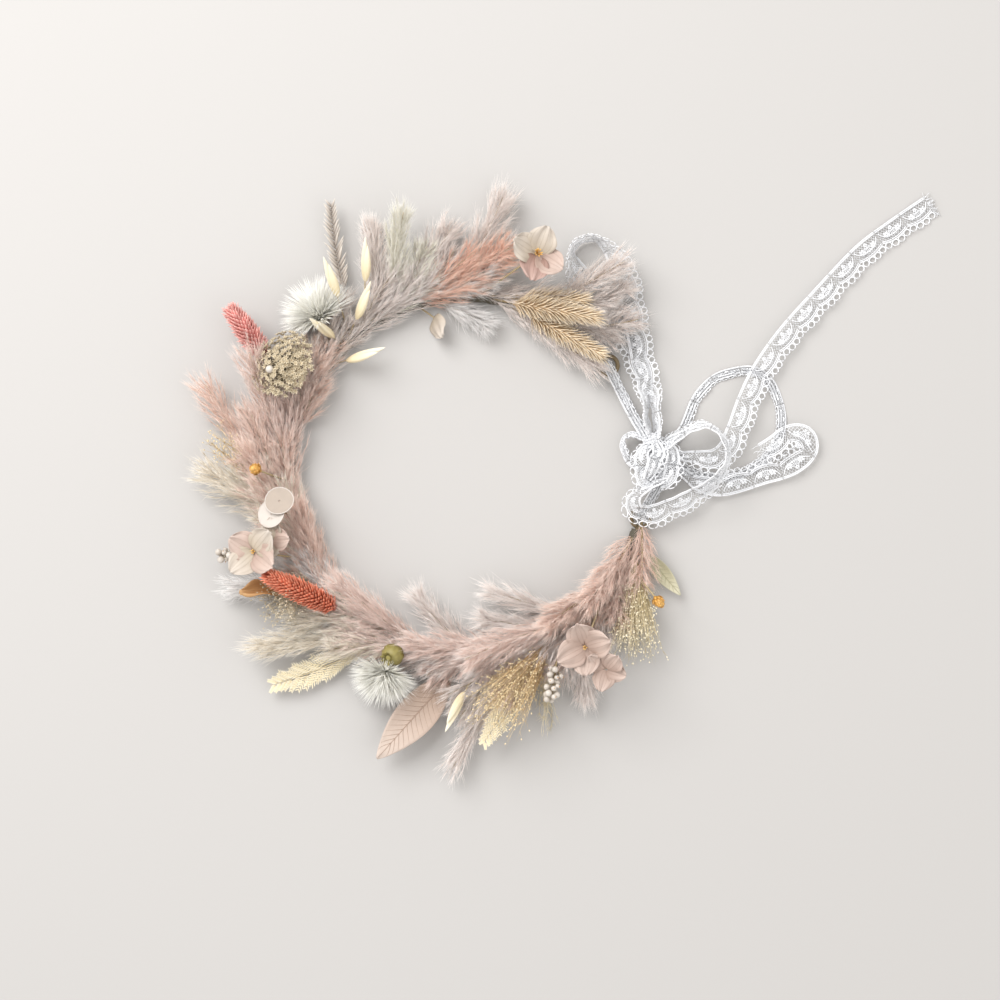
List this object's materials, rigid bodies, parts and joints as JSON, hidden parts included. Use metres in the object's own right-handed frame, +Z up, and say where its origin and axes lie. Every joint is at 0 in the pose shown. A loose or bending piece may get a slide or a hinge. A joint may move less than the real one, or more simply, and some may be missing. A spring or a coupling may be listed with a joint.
{
  "type": "flower crown",
  "caption": "Open wire ring with dried plumes, flowers, seeds and leaves bound on, closed by a lace ribbon tied in a bow.",
  "frame": {"origin": "centre of the wire ring, on the flat surface that the crown lies on", "axes": "+Z up out of the ring, where the wearer's head comes through; +X towards the ribbon bow that closes the gap; +Y along the surface"},
  "size_m": [0.3935, 0.3126, 0.0453],
  "materials": {
    "wire": "matte",
    "floral_tape": "matte",
    "lace": "matte",
    "pink_plume": "matte",
    "mauve_plume": "matte",
    "cream_plume": "matte",
    "peach_plume": "matte",
    "white_bristle": "satin",
    "coral_floret": "matte",
    "oat_husk": "satin",
    "gold_grass": "matte",
    "pressed_leaf": "matte",
    "green_leaf": "matte",
    "petal": "satin",
    "berry": "satin",
    "seed_case": "satin",
    "amber_bud": "satin"
  },
  "bodies": {
    "crown": {"band_tape": "floral_tape", "band_wire": "wire", "berry_sprays": "berry", "bottom_plume_a": "pink_plume", "bottom_plume_b": "pink_plume", "coral_spikes": "coral_floret", "cream_fern": "oat_husk", "cream_top_plume": "cream_plume", "curly_grass": "gold_grass", "drop_plume": "mauve_plume", "dry_twigs": "cream_plume", "end_broom": "gold_grass", "end_leaf": "green_leaf", "end_plume": "pink_plume", "end_plumes": "pink_plume", "fan_plume": "cream_plume", "floret_cluster": "gold_grass", "gap_plume": "mauve_plume", "gold_buds": "amber_bud", "grass_ears": "oat_husk", "grey_plume": "mauve_plume", "hanging_plume": "cream_plume", "herringbone_spray": "oat_husk", "high_plume": "mauve_plume", "honesty_discs": "petal", "inner_left_plume": "pink_plume", "inner_plume_a": "mauve_plume", "inner_plume_b": "mauve_plume", "inner_tip_plume": "mauve_plume", "left_hydrangea": "petal", "left_plume_a": "pink_plume", "left_plume_b": "pink_plume", "left_plume_c": "pink_plume", "left_plume_d": "pink_plume", "loose_petals": "petal", "low_broom": "gold_grass", "low_fern": "oat_husk", "low_hydrangea": "petal", "mauve_plume": "mauve_plume", "moss_tuft": "gold_grass", "oat_seeds": "oat_husk", "peach_plume": "peach_plume", "pink_top_plume": "mauve_plume", "ribbon_back_loop": "lace", "ribbon_bow_loop": "lace", "ribbon_knot": "lace", "ribbon_lower_tie": "lace", "ribbon_top_loop": "lace", "ribbon_upper_tie": "lace", "seed_pod": "seed_case", "shoulder_plume": "pink_plume", "side_plume": "mauve_plume", "skeleton_leaf": "pressed_leaf", "top_hydrangea": "petal", "turned_plume": "pink_plume", "white_daisies": "white_bristle", "white_inner_plume": "mauve_plume"},
    "long_tail": {"ribbon_long_tail": "lace"},
    "short_tail": {"ribbon_short_tail": "lace"}
  },
  "joints": [
    {"name": "long_tail_swing", "type": "hinge", "parent": "crown", "child": "long_tail", "pos_m": [0.10841, 0.00915, 0.0064], "axis": [0, 0, 1], "range_deg": [-4, 30]},
    {"name": "short_tail_swing", "type": "hinge", "parent": "crown", "child": "short_tail", "pos_m": [0.1097, 0.00432, 0.0038], "axis": [0, 0, 1], "range_deg": [-15, 3]}
  ]
}
